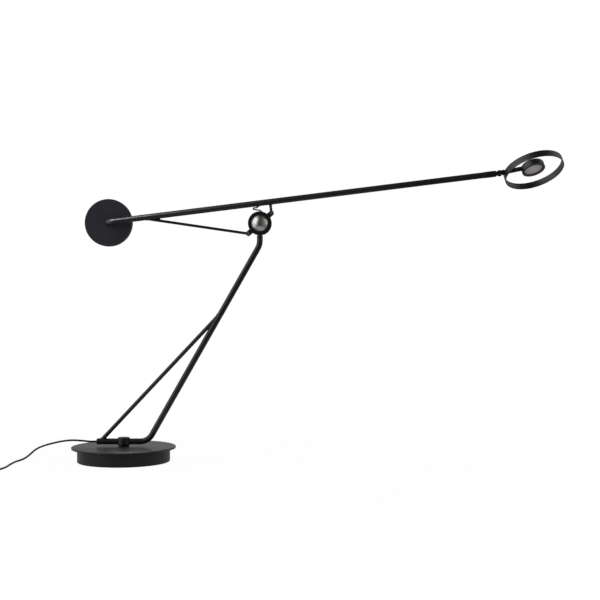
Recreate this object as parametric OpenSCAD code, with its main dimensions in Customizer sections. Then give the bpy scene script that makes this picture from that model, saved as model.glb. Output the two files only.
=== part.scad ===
// Balance desk lamp. A weighted round base carries a bent stand tube with a brace. A steel ball
// on top of the stand turns on its neck and is held between two clamp cheeks, and the cheeks
// carry the arm: a lamp head in a ring at one end and a counterweight disc at the other.
//
// Millimetres, +Z up, origin at the centre of the base's underside. At rest the arm lies in the
// X-Z plane with the lamp head towards +X.

/* [Base] */
// Diameter of the top plate
plate_d = 207; // [196:1:230]
// Thickness of the top plate
plate_t = 4; // [3.5:0.5:6]
// Radius round the edges of the top plate
plate_edge_r = 0.8; // [0.4:0.1:1.5]
// Diameter of the iron weight under the plate
weight_d = 184; // [150:1:190]
// Height of the plate's upper face above the table
base_h = 31; // [29:1:40]
// Radius round the foot of the weight
weight_edge_r = 2; // [1:0.5:3]
// Distance from the weight's side to the foot pad
pad_margin = 7; // [5:0.5:12]
// Thickness of the foot pad
pad_t = 2; // [1.6:0.2:3]
// How far the foot pad stands proud of the weight
pad_proud = 0.8; // [0.4:0.1:1.2]
// Diameter of the screws that hold the plate to the weight
plate_screw_d = 4; // [3:0.5:5]
// Diameter of the circle that the plate screws lie on
plate_screw_circle_d = 130; // [100:1:132]

/* [Swivel post] */
// Diameter of the post
post_d = 24; // [22:0.5:28]
// Diameter of the post's foot
post_foot_d = 20; // [18:0.5:21]
// Height of the post above the plate
post_h = 18; // [17.5:0.5:24]
// Thickness of the slide ring under the post
slide_t = 0.8; // [0.5:0.1:1.2]
// Diameter of the shaft that turns in the base
shaft_d = 14; // [12:0.5:16]
// Depth of iron that the shaft turns in
shaft_web_t = 16; // [12:0.5:17]
// Diameter of the bolt under the shaft
bolt_d = 8; // [6:1:8]
// Thickness of the bolt's washer
washer_t = 1.6; // [1.2:0.2:2]

/* [Stand] */
// Diameter of the main tube
tube_d = 12; // [11:0.5:13]
// Wall of the main tube
tube_wall = 1.5; // [1:0.25:1.75]
// Height of the tube's axis above the plate
tube_lift = 9.7; // [9:0.1:10.5]
// Length of tube behind the post's axis
tail_l = 50; // [49:1:60]
// Distance from the post's axis to the corner of the lower bend
foot_run = 48.7; // [44:0.1:60]
// Radius of the lower bend
foot_bend_r = 27; // [22:1:30]
// Lean of the stand from upright, in degrees
lean = 29.6; // [26:0.2:33]
// Height of the upper bend's corner above the tube's axis
shoulder_h = 393.3; // [360:0.1:410]
// Radius of the upper bend
shoulder_bend_r = 34; // [28:1:38]
// Height of the ball's centre above the upper bend's corner
hub_rise = 42.7; // [41:0.1:50]
// Diameter of the brace
brace_d = 8; // [6:0.5:9]
// Distance behind the post's axis where the brace meets the tube's axis
brace_tail = 47; // [40:1:48]
// Height above the tube's axis where the brace meets the stand
brace_h = 257.6; // [200:0.1:300]
// Length of the plug's flange at the tube's tail
tail_plug_flange = 3.6; // [2:0.1:5]
// Length of the plug inside the tube's tail
tail_plug_l = 10; // [6:1:16]

/* [Ball joint] */
// Diameter of the steel ball
ball_d = 37.8; // [37:0.1:38.2]
// Clearance between the ball and its seat
ball_gap = 0.15; // [0.1:0.05:0.25]
// Diameter of the neck between the stand and the ball
neck_d = 8; // [7:0.5:8]
// Diameter of the pivot that the ball turns on
pivot_d = 6; // [5:0.5:6.5]
// Diameter of the clamp ring
clamp_d = 47.4; // [47:0.1:48.4]
// Width of the clamp across both cheeks
clamp_w = 17; // [16:0.5:19]
// Gap between the cheeks
slot_w = 8.6; // [8.4:0.1:9]
// Distance from the ball's centre to the clamp screws
lug_r = 31; // [30:0.5:34]
// Angle of the clamp screws from the arm, in degrees
lug_angle = 34.4; // [32:0.2:37]
// Width of each lug
lug_w = 9.5; // [9:0.5:10]
// Diameter of the clamp screws
clamp_screw_d = 3.4; // [3:0.2:4]

/* [Arm] */
// Slope of the arm from level, in degrees
arm_angle = 7.1; // [0:0.1:9]
// Distance from the ball's centre to the arm's axis
arm_rise = 40.3; // [40:0.1:44]
// Distance along the arm from the ball to its straight end
arm_right = 457; // [400:1:480]
// Distance along the arm from the ball to the counterweight's axis
arm_left = 303; // [270:0.1:320]
// Radius of the elbow behind the counterweight
elbow_r = 14; // [13:0.5:18]
// Diameter of the short strut
short_strut_d = 5.6; // [5:0.1:6.5]
// Diameter of the long strut
long_strut_d = 5.5; // [5:0.1:6.5]
// Angle between the long strut and the arm, in degrees
long_strut_angle = 15.4; // [14:0.2:18]
// Thickness of the web between the long strut and the arm
web_t = 3; // [2:0.5:4]
// Length of the web along the arm
web_l = 13; // [8:1:26]
// Diameter of the counterweight disc
disc_d = 95.5; // [80:0.5:110]
// Thickness of the counterweight disc
disc_t = 15; // [13:0.5:20]
// Depth that the arm tube enters the counterweight
disc_seat = 8; // [6:0.5:8.5]

/* [Head joint] */
// Diameter of the fitting at the arm's end
fitting_d = 12.6; // [12.4:0.1:14]
// Length of the fitting beyond the tube
fitting_l = 23.8; // [20:0.1:30]
// Diameter of the shaft that rolls in the fitting
roll_shaft_d = 6.2; // [5.6:0.1:6.4]
// Length of the shaft inside the fitting
roll_shaft_l = 18; // [12:1:19]
// Diameter of the collar between the fitting and the hinge
collar_d = 8.6; // [8:0.1:9.4]
// Length of bare collar between the fitting and the fork
collar_l = 2.2; // [1.4:0.1:4]
// Diameter of the hinge cheeks
hinge_d = 10; // [9.8:0.1:10.4]
// Thickness of the hinge tongue
tongue_t = 4; // [3.6:0.2:4.4]
// Thickness of each hinge cheek
hinge_cheek_t = 2.2; // [2:0.1:2.6]
// Diameter of the hinge pin
hinge_pin_d = 3; // [2.6:0.2:3.4]
// Roll of the head about the arm towards the front at rest, in degrees
head_roll_rest = 25.5; // [-40:0.5:40]
// Upward tilt of the head from the arm at rest, in degrees
head_tilt_rest = 5.4; // [-20:0.1:30]

/* [Lamp head] */
// Outer diameter of the head's ring
ring_d = 120.4; // [104:0.2:130]
// Wall of the ring
ring_wall = 2.1; // [1.6:0.1:3]
// Width of the ring
ring_w = 13; // [11:0.5:14]
// Distance from the hinge pin to the ring's nearest point
ring_gap = 7.8; // [7.8:0.1:9]
// Height of the stem's axis above the ring's mid-plane
stem_lift = 9; // [8.5:0.1:9.5]
// Diameter of the stem
stem_d = 9; // [8:0.5:10]
// Diameter of the stem's neck at the ring
stem_neck_d = 11; // [10.5:0.1:12]
// Diameter of the lamp housing
housing_d = 47; // [44:0.5:52]
// Height of the lamp housing
housing_h = 14.5; // [14:0.5:18]
// Wall of the lamp housing
housing_wall = 2.5; // [2:0.25:3]
// Diameter of the luminous face
face_d = 35.6; // [32:0.2:37]
// Thickness of the bezel and of the diffuser
lens_t = 2; // [1.6:0.1:2.2]
// Thickness of the circuit board
board_t = 1.6; // [1:0.1:2]

/* [Leads] */
// Diameter of the cord
cord_d = 3.8; // [3:0.1:4]
// Diameter of the lead inside the tubes
lead_d = 2.4; // [2:0.1:2.6]
// Diameter of the jumper lead between the ball and the arm
jumper_d = 2.6; // [1.6:0.1:2.6]
// Turns across the coil
coil_columns = 3; // [3:1:4]
// Turns up the coil
coil_layers = 4; // [3:1:5]
// Mean diameter of the coil
coil_d = 38; // [34:1:41]
// Width of the plug across its pins
plug_w = 34; // [32:0.5:36]
// Thickness of the plug
plug_t = 13.6; // [12.6:0.2:15]
// Length of the plug's body
plug_l = 37; // [34:1:40]

/* [Hidden] */
$fn = 72;

// Clearances: a close fit on the radius, a turning fit on the radius, and the play between faces
close_gap = 0.05;
turn_gap = 0.08;
face_gap = 0.3;
// How much wider a through hole is than its bolt, and the lap of a bolt's shank into its head
bolt_play = 0.4;
head_lap = 0.01;
// Length by which a cutting shape runs past what it cuts
over = 1;
// How much a tube's wall is drawn thinner in its bends, and the lap of straight and bend
bend_drawn = 0.05;
bend_lap = 0.5;

black = "#202024";
iron = "#2b2b2f";
rubber = "#18181a";
steel = "#a8a6a2";
diffuse = "#d9d3c8";
board_white = "#e6e6e2";
cord_black = "#141416";

// Base
weight_h = base_h - plate_t;
pad_d = weight_d - 2 * pad_margin;
pocket_h = weight_h - shaft_web_t;
pocket_d = 28;
plate_screw_head_d = 2 * plate_screw_d;
plate_screw_head_h = plate_screw_d;
plate_screw_grip = plate_t - 1.2;
plate_screws_n = 3;

// Swivel post
bolt_head_af = 1.6 * bolt_d;
bolt_head_h = 5;
bolt_grip = 13;
washer_d = pocket_d - 4;
post_round = 4;
post_chamfer = 1.2;
grub_d = 5;

// Stand
tube_r = tube_d / 2;
bore_r = tube_r - tube_wall;
tube_z = base_h + tube_lift;
foot_turn = 90 - lean;
foot_tangent = foot_bend_r * tan(foot_turn / 2);
shoulder_tangent = shoulder_bend_r * tan(lean / 2);
shoulder_x = foot_run + shoulder_h * tan(lean);
shoulder_z = tube_z + shoulder_h;
hub_x = shoulder_x;
hub_z = shoulder_z + hub_rise;
leg_l = shoulder_h / cos(lean) - foot_tangent - shoulder_tangent;
brace_x = foot_run + brace_h * tan(lean);
brace_angle = atan2(brace_h, brace_x + brace_tail);
brace_l = norm([brace_x + brace_tail, brace_h]);

// Ball joint
ball_r = ball_d / 2;
seat_r = ball_r + ball_gap;
clamp_r = clamp_d / 2;
clamp_edge_r = 1;
// How far each lug's face lies back from its cheek's face
lug_step = 0.4;
neck_flange_t = 1;
// The neck's flange lies just outside the clamp ring, and the ball has a flat over the neck
neck_flange_z = -clamp_r - 0.6;
tube_top_z = hub_z + neck_flange_z - neck_flange_t;
// The neck's spigot ends above the upper bend
neck_spigot_l = tube_top_z - shoulder_z - shoulder_tangent - bend_lap;
ball_flat_z = -ball_r + 1.6;
pivot_top_z = ball_flat_z + 10;
lead_bore_d = lead_d + 0.8;
lug_x = lug_r * cos(lug_angle);
lug_z = lug_r * sin(lug_angle);
eye_t = slot_w - 2 * close_gap;
eye_d = lug_w - 0.7;
clamp_screw_head_d = 7.4;
clamp_screw_head_h = 2.6;
clamp_nut_af = 6.4;
clamp_nut_h = 2.6;

// Arm
underside = arm_rise - tube_r;
disc_face_y = elbow_r + 1;
disc_back_y = disc_face_y + disc_t;
disc_edge_r = 1.5;
insert_bolt_d = 6;
disc_bolt_head_d = 11;
disc_bolt_head_h = 4;
long_strut_l = (arm_rise + lug_z) / sin(long_strut_angle);
lead_hole_x = 0.4;
grommet_d = 5.2;
grommet_flange_d = 6.6;
grommet_flange_t = 0.8;
grommet_bore_d = 4.4;

// Head joint
fitting_end = arm_right + fitting_l;
fitting_spigot_l = 14;
hinge_r = hinge_d / 2;
hinge_x = fitting_end + collar_l + hinge_r;
tongue_r = hinge_r - 1.6;
fork_root_x = hinge_x - tongue_r - face_gap;
tongue_gap = 0.1;
fork_in = tongue_t / 2 + tongue_gap;
fork_out = fork_in + hinge_cheek_t;
roll_screw_d = 3;

// Lamp head, in the head's own frame: x along the stem, y along the hinge pin
ring_r = ring_d / 2;
head_x = ring_gap + ring_r;
head_z = -stem_lift;
neck_x = hinge_r + face_gap;
neck_end_x = ring_gap + ring_wall + 0.5;
housing_r = housing_d / 2;
housing_in_r = housing_r - housing_wall;
housing_edge_r = 5;
stem_end_x = head_x - housing_in_r;
stem_bore_d = 5;
roof_t = 3;
roof_z = housing_h - roof_t;
board_z = roof_z - board_t;
lens_z = 2 * lens_t;
lens_r = housing_in_r - close_gap;

// Cord. The route runs from the tube's tail down to the table, forward and round to the coil
cord_r = cord_d / 2;
cord_exit_x = tail_l + tail_plug_flange;
coil_section_w = coil_columns * cord_d;
coil_section_h = coil_layers * cord_d;
coil_in_r = coil_d / 2 - coil_section_w / 2;
coil_out_r = coil_d / 2 + coil_section_w / 2;
coil_x = -256;
coil_y = -170;
tie_t = 1;
tie_w = 7;
tie_gap = 0.1;
// The strap's inner face lies clear of the coil's inner turn across the strap's whole width
tie_in_x = sqrt(coil_in_r * coil_in_r - tie_w * tie_w / 4) - tie_gap;
tie_out_x = coil_out_r + tie_gap;
cord_drop = [
    [-66, 0, 40.5], [-78, 0, 41.6], [-90, 0, 42.6], [-102, 0.5, 43], [-114, 1, 42.2],
    [-126, 2, 40.4], [-138, 3, 37.8], [-149, 4, 35], [-160, 5, 31.8], [-170, 6, 27.8],
    [-178.5, 7, 23], [-186, 8, 16.8], [-193, 8.5, 10.8], [-200, 8, 6], [-206.5, 5, 3],
    [-211, -2, 2]
];
cord_floor = [
    [-213, -12], [-214, -24], [-214.5, -37], [-214.4, -50], [-214, -63], [-213.6, -76],
    [-213.8, -89], [-215, -102], [-217.5, -114], [-221, -126], [-226, -138], [-230.8, -149],
    [-234, -160]
];
cord_end = [coil_x + coil_out_r - cord_r, coil_y];
plug_x = -288;
plug_y = -100;
plug_z = plug_t / 2;
plug_neck_w = 13;
plug_grip_l = 14;
relief_l = 24;
relief_d = 9;
pin_d = 4;
pin_spacing = 19;
pin_seat = 8;
pin_l = 18;
tail_route = [
    [-280, -158, 9], [-282.5, -148, 5], [-285, -139, 4]
];

// Straight round bar in the X-Z plane from point p, at angle a above +X
module bar(p, a, l, r) {
    translate(p)
        rotate([0, 90 - a, 0])
            cylinder(h = l, r = r);
}

// Bend in the X-Z plane that starts at p at angle a above +X and turns upwards
module bend(p, a, turn, bend_r, r) {
    translate([p[0] - bend_r * sin(a), 0, p[2] + bend_r * cos(a)])
        rotate([90, 0, 0])
            rotate([0, 0, a - 90])
                rotate_extrude(angle = turn)
                    translate([bend_r, 0]) circle(r = r);
}

// Ring or disc about +Z with rounded edges: outer radius r1, inner radius r0, height h, edge e
module round_disc(r1, h, e, r0 = 0) {
    rotate_extrude() {
        translate([r0, e]) square([r1 - r0, h - 2 * e]);
        translate([r0, 0]) square([r1 - r0 - e, h]);
        translate([r1 - e, e]) circle(r = e);
        translate([r1 - e, h - e]) circle(r = e);
    }
}

// Cylinder along +Y from y0 to y1, with its axis through x and z
module along_y(x, z, y0, y1, d) {
    translate([x, y0, z])
        rotate([-90, 0, 0])
            cylinder(h = y1 - y0, d = d);
}

// Frames of the hub, the arm and the head
module at_hub() {
    translate([hub_x, 0, hub_z]) children();
}
module at_arm() {
    at_hub() rotate([0, -arm_angle, 0]) children();
}
module at_fork() {
    at_arm() translate([hinge_x, 0, arm_rise]) rotate([-head_roll_rest, 0, 0]) children();
}
module at_head() {
    at_fork() rotate([0, -head_tilt_rest, 0]) children();
}
// Frame of the lamp: z from the luminous face into the housing
module at_lamp() {
    at_head() translate([head_x, 0, head_z]) children();
}

// Round tube or lead swept through the points p. up is never parallel to the route.
function unit(v) = v / norm(v);
function heading(p, i) = unit(p[min(i + 1, len(p) - 1)] - p[max(i - 1, 0)]);
function circle_at(c, t, up, r, n) =
    let (side = unit(cross(t, up)), lift = cross(side, t))
    [for (k = [0:n - 1]) c + r * (cos(360 * k / n) * side + sin(360 * k / n) * lift)];
module sweep(p, up, r, n = 8) {
    last = len(p) - 1;
    rings = [for (i = [0:last]) each circle_at(p[i], heading(p, i), up, r, n)];
    walls = [
        for (i = [0:last - 1], k = [0:n - 1])
            let (k2 = (k + 1) % n)
            [i * n + k, i * n + k2, (i + 1) * n + k2, (i + 1) * n + k]
    ];
    first_cap = [for (k = [n - 1:-1:0]) k];
    last_cap = [for (k = [0:n - 1]) last * n + k];
    polyhedron(rings, concat([first_cap, last_cap], walls));
}

// ---- base ----

module foot_pad() {
    color(rubber) cylinder(h = pad_t, d = pad_d - 2 * close_gap);
}

module base_weight() {
    color(iron)
        difference() {
            translate([0, 0, pad_proud]) weight_blank();
            cylinder(h = pad_t, d = pad_d);
            cylinder(h = pocket_h, d = pocket_d);
            cylinder(h = base_h, d = shaft_d + 2 * turn_gap);
            at_plate_screws() {
                cylinder(h = pad_t + plate_screw_head_h + close_gap, d = plate_screw_head_d + bolt_play);
                cylinder(h = base_h, d = plate_screw_d + bolt_play);
            }
        }
}

// Iron puck, rounded round its foot only, up to the plate
module weight_blank() {
    blank_h = weight_h - pad_proud;
    round_disc(weight_d / 2, 2 * weight_edge_r + over, weight_edge_r);
    translate([0, 0, weight_edge_r]) cylinder(h = blank_h - weight_edge_r, d = weight_d);
}

module at_plate_screws() {
    for (i = [0:plate_screws_n - 1])
        rotate([0, 0, 90 + i * 360 / plate_screws_n])
            translate([plate_screw_circle_d / 2, 0, 0]) children();
}

module plate_screws() {
    color(steel)
        at_plate_screws() {
            difference() {
                translate([0, 0, pad_t]) cylinder(h = plate_screw_head_h, d = plate_screw_head_d);
                cylinder(h = pad_t + plate_screw_head_h / 2, d = 0.75 * plate_screw_d, $fn = 6);
            }
            translate([0, 0, pad_t + plate_screw_head_h])
                cylinder(h = weight_h + plate_screw_grip - pad_t - plate_screw_head_h,
                         d = plate_screw_d);
        }
}

module top_plate() {
    color(black)
        difference() {
            translate([0, 0, weight_h]) round_disc(plate_d / 2, plate_t, plate_edge_r);
            cylinder(h = base_h + over, d = shaft_d + 2 * turn_gap);
            at_plate_screws()
                translate([0, 0, weight_h - over])
                    cylinder(h = over + plate_screw_grip + 0.2, d = plate_screw_d);
        }
}

// ---- swivel post ----

module slide_ring() {
    color(black)
        translate([0, 0, base_h])
            difference() {
                cylinder(h = slide_t, d = post_foot_d);
                translate([0, 0, -over])
                    cylinder(h = slide_t + 2 * over, d = shaft_d + 2 * turn_gap);
            }
}

module swivel_post() {
    shaft_end = pocket_h + 0.2;
    color(black)
        difference() {
            union() {
                translate([0, 0, base_h + slide_t]) rotate_extrude() post_profile();
                translate([0, 0, shaft_end])
                    cylinder(h = base_h + slide_t + post_round - shaft_end, d = shaft_d);
            }
            bar([-post_d, 0, tube_z], 0, 2 * post_d, tube_r + close_gap);
            translate([0, 0, shaft_end - over]) cylinder(h = over + bolt_grip, d = bolt_d);
            along_y(0, tube_z, tube_r - over, post_d, grub_d);
        }
}

// Half outline of the post: rounded foot, straight side, chamfered top
module post_profile() {
    h = post_h - slide_t;
    widening = (post_d - post_foot_d) / 2;
    foot = [
        for (t = [0:15:90])
            [post_foot_d / 2 + widening * sin(t), post_round * (1 - cos(t))]
    ];
    top = [
        [post_d / 2, h - post_chamfer],
        [post_d / 2 - post_chamfer, h],
        [0, h]
    ];
    polygon(concat([[0, 0]], foot, top));
}

module post_washer() {
    color(steel)
        translate([0, 0, pocket_h - washer_t])
            difference() {
                cylinder(h = washer_t, d = washer_d);
                translate([0, 0, -over]) cylinder(h = washer_t + 2 * over, d = bolt_d + bolt_play / 2);
            }
}

module post_bolt() {
    head_top = pocket_h - washer_t;
    color(steel) {
        translate([0, 0, head_top - min(bolt_head_h, head_top - pad_t)])
            cylinder(h = min(bolt_head_h, head_top - pad_t), d = bolt_head_af / cos(30), $fn = 6);
        translate([0, 0, head_top - head_lap]) cylinder(h = washer_t + bolt_grip, d = bolt_d);
    }
}

module post_grub_screw() {
    color(steel)
        difference() {
            along_y(0, tube_z, tube_r + close_gap, post_d / 2 - 0.5, grub_d);
            translate([0, post_d / 2 - 3, tube_z])
                rotate([-90, 0, 0]) cylinder(h = 3, d = grub_d / 2, $fn = 6);
        }
}

// ---- stand ----

// Everything of radius r along the stand tube's axis, run on by ext past both ends. The straight
// lengths reach a little into the bends, whose own radius differs by drawn.
module stand_run(r, ext, drawn) {
    foot_start = [foot_run - foot_tangent, 0, tube_z];
    leg_start = [foot_run + foot_tangent * sin(lean), 0, tube_z + foot_tangent * cos(lean)];
    leg_end = [shoulder_x - shoulder_tangent * sin(lean), 0,
               shoulder_z - shoulder_tangent * cos(lean)];
    top_z = shoulder_z + shoulder_tangent;
    bar([-tail_l - ext, 0, tube_z], 0, tail_l + ext + foot_start[0] + bend_lap, r);
    bend(foot_start, 0, foot_turn, foot_bend_r, r + drawn);
    bar(leg_start - bend_lap * [sin(lean), 0, cos(lean)], foot_turn, leg_l + 2 * bend_lap, r);
    bend(leg_end, foot_turn, lean, shoulder_bend_r, r + drawn);
    bar([hub_x, 0, top_z - bend_lap], 90, tube_top_z + ext - top_z + bend_lap, r);
}

module stand_tube() {
    color(black)
        difference() {
            stand_run(tube_r, 0, -bend_drawn);
            stand_run(bore_r, over, bend_drawn);
        }
}

module brace() {
    color(black)
        difference() {
            bar([-brace_tail, 0, tube_z], brace_angle, brace_l, brace_d / 2);
            stand_run(tube_r, over, -bend_drawn);
        }
}

module tail_plug() {
    color(black)
        difference() {
            union() {
                bar([-tail_l - tail_plug_flange, 0, tube_z], 0, tail_plug_flange, tube_r);
                bar([-tail_l - over, 0, tube_z], 0, tail_plug_l + over, bore_r - close_gap);
            }
            bar([-cord_exit_x - over, 0, tube_z], 0, 2 * over + tail_plug_flange + tail_plug_l,
                lead_d / 2 + close_gap);
        }
}

// The lead inside the stand, from the tail plug to the ball's pivot
module stand_lead() {
    color(cord_black) {
        bar([-cord_exit_x, 0, tube_z], 0, over + tail_plug_flange, lead_d / 2);
        stand_run(lead_d / 2, 0, -bend_drawn);
        bar([hub_x, 0, tube_top_z - over], 90, hub_z + pivot_top_z - tube_top_z + over, lead_d / 2);
    }
}

module stem_neck() {
    color(black)
        at_hub()
            difference() {
                union() {
                    translate([0, 0, neck_flange_z - neck_flange_t - neck_spigot_l])
                        cylinder(h = neck_spigot_l + over / 2, r = bore_r - close_gap);
                    translate([0, 0, neck_flange_z - neck_flange_t])
                        cylinder(h = neck_flange_t, r = tube_r);
                    translate([0, 0, neck_flange_z - over / 2])
                        cylinder(h = ball_flat_z - neck_flange_z + over / 2, d = neck_d);
                    translate([0, 0, ball_flat_z - over])
                        cylinder(h = pivot_top_z - ball_flat_z + over, d = pivot_d);
                }
                translate([0, 0, -2 * clamp_d])
                    cylinder(h = 2 * clamp_d, d = lead_bore_d);
            }
}

// ---- ball joint ----

module ball() {
    color(steel)
        at_hub()
            difference() {
                sphere(r = ball_r);
                translate([-ball_r, -ball_r, -ball_r - over])
                    cube([ball_d, ball_d, ball_flat_z + ball_r + over]);
                translate([0, 0, -ball_r]) cylinder(h = ball_r + pivot_top_z + 0.2,
                                                    d = pivot_d + 2 * turn_gap);
                cylinder(h = 3 * ball_r, d = lead_bore_d, center = true);
                translate([0, 0, 0.55 * ball_r]) cylinder(h = ball_r, d = 2.2 * lead_bore_d);
            }
}

// Points of the jumper lead from the ball's centre, in the arm's plane
jumper_route = [
    [0, 0, -6.8], [0, 0, -1], [0, 0, 4], [0.1, 0, 9], [0.4, 0, 13], [1.2, 0, 16.5],
    [2.2, 0, 19.5], [2.9, 0, 22], [2.7, 0, 24], [1.6, 0, 25.4], [-0.2, 0, 26.1],
    [-2.4, 0, 26.5], [-5, 0, 26.9], [-7.6, 0, 27.3], [-10.2, 0, 27.6], [-11.9, 0, 27.9],
    [-13, 0, 28.7], [-13.3, 0, 29.6], [-12.9, 0, 30.4], [-11.8, 0, 31], [-10.2, 0, 31.2],
    [-8.2, 0, 31.2], [-6.5, 0, 31.4], [-5, 0, 32], [-4.1, 0, 33.1], [-4, 0, 34.6],
    [-4.2, 0, 36.4], [-4.4, 0, 38.3]
];

module jumper_lead() {
    color(cord_black) at_hub() sweep(jumper_route, [0, -1, 0], jumper_d / 2, 10);
}

// Front cheek of the clamp, in the arm's frame: a ring with two lugs and a ball seat
module cheek() {
    t = (clamp_w - slot_w) / 2;
    translate([0, -slot_w / 2, 0])
        rotate([90, 0, 0])
            difference() {
                union() {
                    round_disc(clamp_r, t, clamp_edge_r);
                    cylinder(h = t / 2, r = clamp_r);
                    for (side = [0, 180])
                        rotate([0, 0, lug_angle + side]) {
                            translate([0, -lug_w / 2, 0]) cube([lug_r, lug_w, t - lug_step]);
                            translate([lug_r, 0, 0]) cylinder(h = t - lug_step, d = lug_w);
                        }
                }
                translate([0, 0, -slot_w / 2]) sphere(r = seat_r);
                for (side = [0, 180])
                    rotate([0, 0, lug_angle + side])
                        translate([lug_r, 0, -over])
                            cylinder(h = t + 2 * over, d = clamp_screw_d + 2 * close_gap);
            }
}

module clamp_front() {
    color(black) at_arm() cheek();
}

module clamp_back() {
    color(black) at_arm() mirror([0, 1, 0]) cheek();
}

module at_lugs() {
    for (side = [0, 180])
        rotate([0, -lug_angle - side, 0])
            translate([lug_r, 0, 0]) rotate([0, lug_angle + side, 0]) children();
}

module clamp_screws() {
    face = clamp_w / 2 - lug_step;
    color(steel)
        at_arm()
            at_lugs()
                difference() {
                    union() {
                        along_y(0, 0, -face - clamp_screw_head_h, -face, clamp_screw_head_d);
                        along_y(0, 0, -face - head_lap, face + clamp_nut_h + 0.6, clamp_screw_d);
                    }
                    translate([-clamp_screw_head_d, -face - clamp_screw_head_h - over, -0.5])
                        cube([2 * clamp_screw_head_d, over + clamp_screw_head_h / 2, 1]);
                }
}

module clamp_nuts() {
    face = clamp_w / 2 - lug_step;
    color(steel)
        at_arm()
            at_lugs()
                translate([0, face, 0])
                    rotate([-90, 0, 0])
                        difference() {
                            cylinder(h = clamp_nut_h, d = clamp_nut_af / cos(30), $fn = 6);
                            translate([0, 0, -over])
                                cylinder(h = clamp_nut_h + 2 * over,
                                         d = clamp_screw_d + 2 * close_gap);
                        }
}

// ---- struts ----

module eye_hole(x, z) {
    along_y(x, z, -slot_w, slot_w, clamp_screw_d + 2 * close_gap);
}

module arm_axis_bar(r) {
    bar([-arm_left, 0, arm_rise], 0, arm_left + arm_right, r);
}

module short_strut() {
    color(black)
        at_arm()
            difference() {
                union() {
                    along_y(lug_x, lug_z, -eye_t / 2, eye_t / 2, eye_d);
                    bar([lug_x, 0, lug_z], 90, arm_rise - lug_z, short_strut_d / 2);
                }
                eye_hole(lug_x, lug_z);
                arm_axis_bar(tube_r);
            }
}

module long_strut() {
    start = [-lug_x, 0, -lug_z];
    rise = tan(long_strut_angle);
    web_in = -lug_x - (underside + lug_z) / rise + 4;
    web_out = web_in + web_l;
    web_z0 = -lug_z + (-lug_x - web_in) * rise;
    web_z1 = -lug_z + (-lug_x - web_out) * rise;
    color(black)
        at_arm()
            difference() {
                union() {
                    along_y(start[0], start[2], -eye_t / 2, eye_t / 2, eye_d);
                    bar(start, 180 - long_strut_angle, long_strut_l, long_strut_d / 2);
                    translate([0, web_t / 2, 0])
                        rotate([90, 0, 0])
                            linear_extrude(height = web_t)
                                polygon([[web_in, web_z0], [web_out, web_z1],
                                         [web_out, arm_rise], [web_in, arm_rise]]);
                }
                eye_hole(start[0], start[2]);
                arm_axis_bar(tube_r);
            }
}

// ---- arm ----

// Everything of radius r along the arm tube's axis, run on by ext past both ends, with the
// elbow's own radius different by drawn
module arm_run(r, ext, drawn) {
    straight_l = arm_left - elbow_r + arm_right;
    bar([elbow_r - arm_left - bend_lap, 0, arm_rise], 0, straight_l + bend_lap + ext, r);
    translate([elbow_r - arm_left, elbow_r, arm_rise])
        rotate([0, 0, 180])
            rotate_extrude(angle = 90)
                translate([elbow_r, 0]) circle(r = r + drawn);
    along_y(-arm_left, arm_rise, elbow_r - bend_lap, disc_face_y + disc_seat + ext, 2 * r);
}

module arm_tube() {
    color(black)
        at_arm()
            difference() {
                arm_run(tube_r, 0, -bend_drawn);
                arm_run(bore_r, over, bend_drawn);
                translate([lead_hole_x, 0, underside - over])
                    cylinder(h = tube_r, d = grommet_d + 2 * close_gap);
            }
}

module arm_grommet() {
    color(rubber)
        at_arm()
            difference() {
                union() {
                    translate([lead_hole_x, 0, underside - grommet_flange_t / 2])
                        cylinder(h = tube_wall + grommet_flange_t / 2, d = grommet_d);
                    translate([lead_hole_x, 0, underside - grommet_flange_t])
                        cylinder(h = grommet_flange_t, d = grommet_flange_d);
                }
                translate([lead_hole_x, 0, 0]) cylinder(h = arm_rise, d = grommet_bore_d);
            }
}

module arm_lead() {
    color(cord_black)
        at_arm()
            bar([lead_hole_x, 0, arm_rise], 0, hinge_x - tongue_r - 2 - lead_hole_x, lead_d / 2);
}

module weight_insert() {
    seat_y = disc_face_y + disc_seat;
    color(steel)
        at_arm()
            difference() {
                along_y(-arm_left, arm_rise, elbow_r + 0.5, seat_y, 2 * (bore_r - close_gap));
                along_y(-arm_left, arm_rise, elbow_r, seat_y + over, insert_bolt_d);
            }
}

module counterweight() {
    seat_y = disc_face_y + disc_seat;
    color(black)
        at_arm()
            difference() {
                translate([-arm_left, disc_face_y, arm_rise])
                    rotate([-90, 0, 0]) round_disc(disc_d / 2, disc_t, disc_edge_r);
                along_y(-arm_left, arm_rise, disc_face_y - over, seat_y,
                        tube_d + 2 * close_gap);
                along_y(-arm_left, arm_rise, disc_face_y, disc_back_y + over,
                        insert_bolt_d + bolt_play);
                along_y(-arm_left, arm_rise, disc_back_y - disc_bolt_head_h, disc_back_y + over,
                        disc_bolt_head_d + bolt_play);
            }
}

module counterweight_bolt() {
    head_y = disc_back_y - disc_bolt_head_h;
    hex_af = 4;
    hex_depth = 2.5;
    color(steel)
        at_arm()
            difference() {
                union() {
                    along_y(-arm_left, arm_rise, elbow_r + 2, head_y + over, insert_bolt_d);
                    along_y(-arm_left, arm_rise, head_y, disc_back_y - 0.3, disc_bolt_head_d);
                }
                translate([-arm_left, disc_back_y - hex_depth, arm_rise])
                    rotate([-90, 0, 0]) cylinder(h = hex_depth + over, d = hex_af, $fn = 6);
            }
}

// ---- head joint ----

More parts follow.
